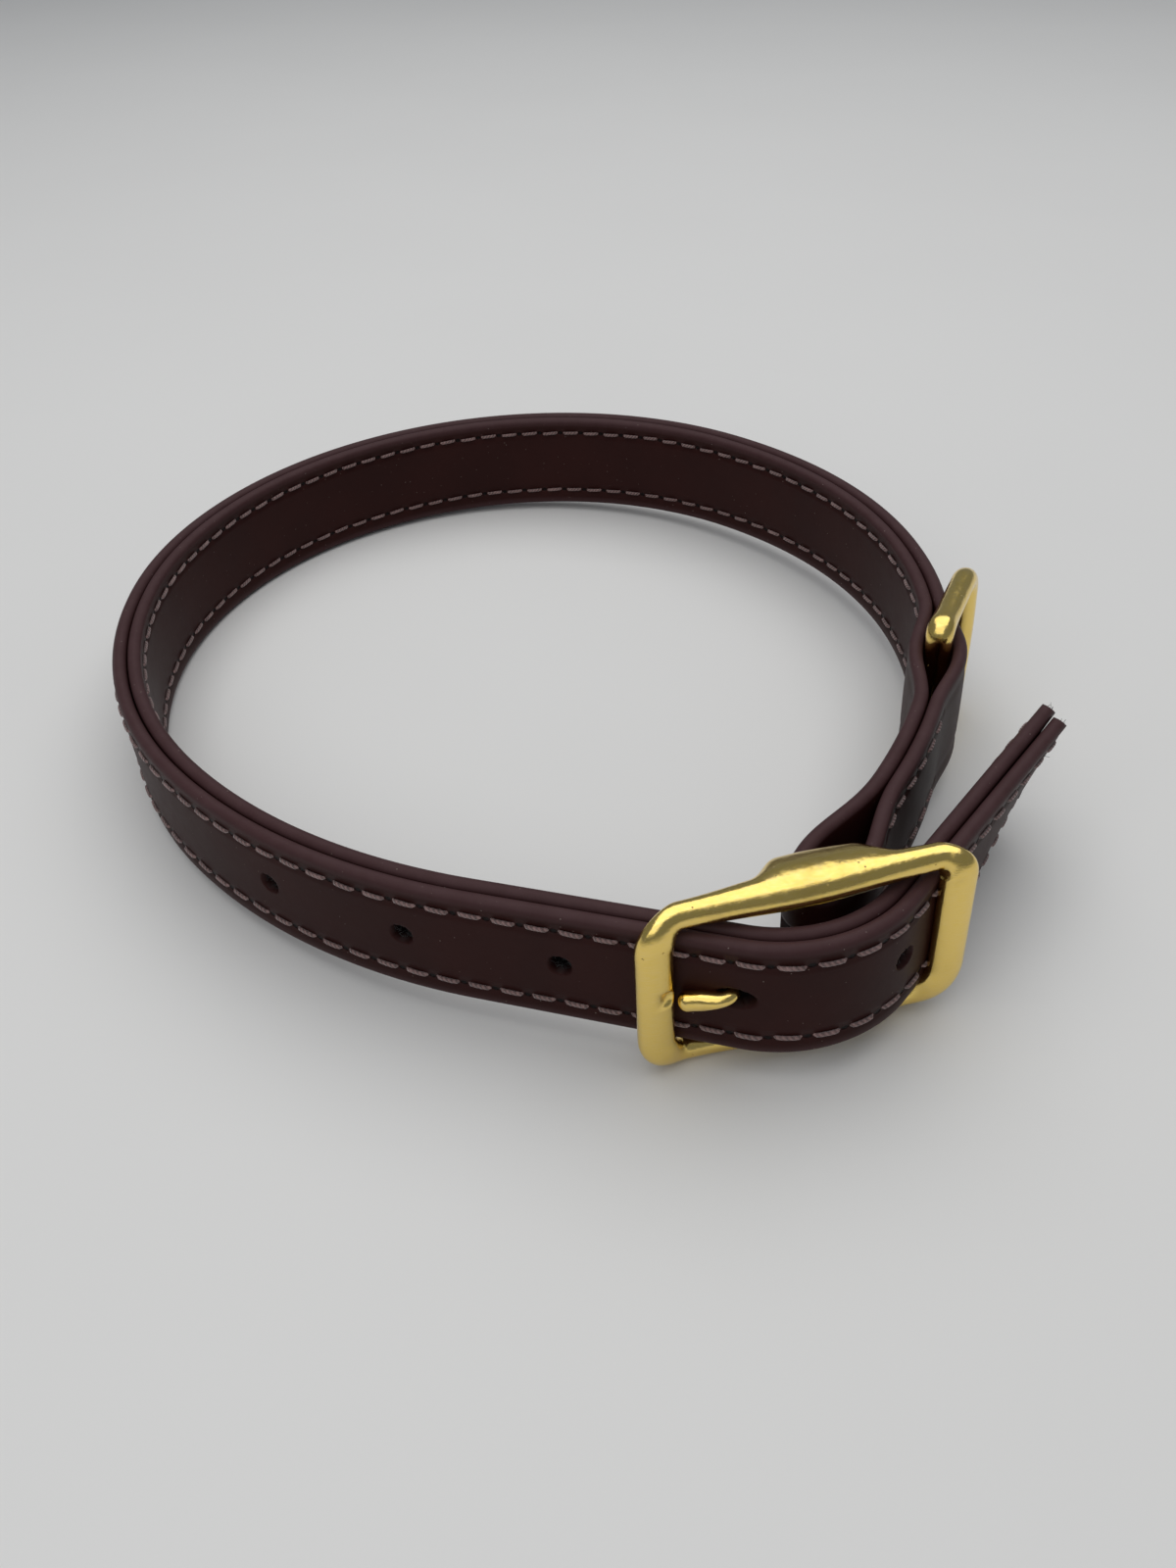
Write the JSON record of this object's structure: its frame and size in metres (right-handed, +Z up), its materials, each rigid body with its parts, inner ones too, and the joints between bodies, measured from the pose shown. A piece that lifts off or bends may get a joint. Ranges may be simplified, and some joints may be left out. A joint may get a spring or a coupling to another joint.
{
  "type": "dog collar",
  "caption": "Buckled two-ply dog collar of coated webbing, sewn along both edges, with a brass buckle, a swinging tongue and a brass dee ring for a lead.",
  "frame": {"origin": "bottom centre of the bounding box, on the surface that the collar lies on", "axes": "+Z up from the surface, +Y away from the buckle across the loop, +X towards the dee ring"},
  "size_m": [0.173, 0.1884, 0.0333],
  "materials": {
    "strap_coating": "satin",
    "webbing_core": "matte",
    "thread": "matte",
    "brass": "polished"
  },
  "bodies": {
    "strap": {"strap_coating": "strap_coating", "webbing_core": "webbing_core", "seam_long_upper_outer": "thread", "seam_long_upper_inner": "thread", "seam_long_lower_outer": "thread", "seam_long_lower_inner": "thread", "seam_short_upper_outer": "thread", "seam_short_upper_inner": "thread", "seam_short_lower_outer": "thread", "seam_short_lower_inner": "thread"},
    "buckle": {"buckle_frame": "brass"},
    "tongue": {"buckle_tongue": "brass"},
    "ring": {"dee_ring": "brass"}
  },
  "joints": [
    {"name": "buckle_rock", "type": "hinge", "parent": "strap", "child": "buckle", "pos_m": [0.03879, -0.07698, 0.01666], "axis": [-0.0294, 0.017, 0.9994], "range_deg": [-0.6, 1]},
    {"name": "tongue_swing", "type": "hinge", "parent": "buckle", "child": "tongue", "pos_m": [0.03879, -0.07698, 0.01666], "axis": [-0.0294, 0.017, 0.9994], "range_deg": [-1, 0.5]},
    {"name": "ring_swing", "type": "hinge", "parent": "strap", "child": "ring", "pos_m": [0.06956, -0.019, 0.01657], "axis": [-0.0294, 0.017, 0.9994], "range_deg": [-90, 2]}
  ]
}
